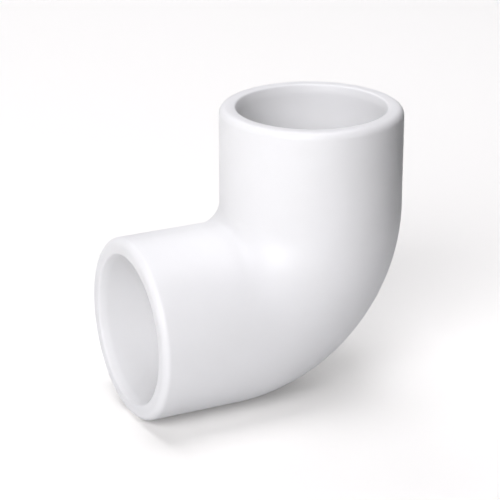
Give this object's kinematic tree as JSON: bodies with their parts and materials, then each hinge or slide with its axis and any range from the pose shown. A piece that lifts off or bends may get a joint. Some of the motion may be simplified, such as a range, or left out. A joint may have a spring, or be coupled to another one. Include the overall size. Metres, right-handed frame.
{
  "type": "pipe elbow fitting",
  "caption": "Right-angle elbow for plastic water pipe, white and moulded in one piece, with an equal plain slip socket at each end for solvent-cemented pipe.",
  "frame": {"origin": "centre of the upper socket's pipe stop, on that socket's axis; the two socket axes cross 14.565 mm below it", "axes": "+Z is the way out of the upper socket, -X is the way out of the side socket, and Y is square to the mirror plane that holds both socket axes"},
  "size_m": [0.0535, 0.0334, 0.0534],
  "materials": {
    "white_pvc": "satin, as moulded"
  },
  "bodies": {
    "root": {"elbow_body": "white_pvc"}
  },
  "joints": []
}
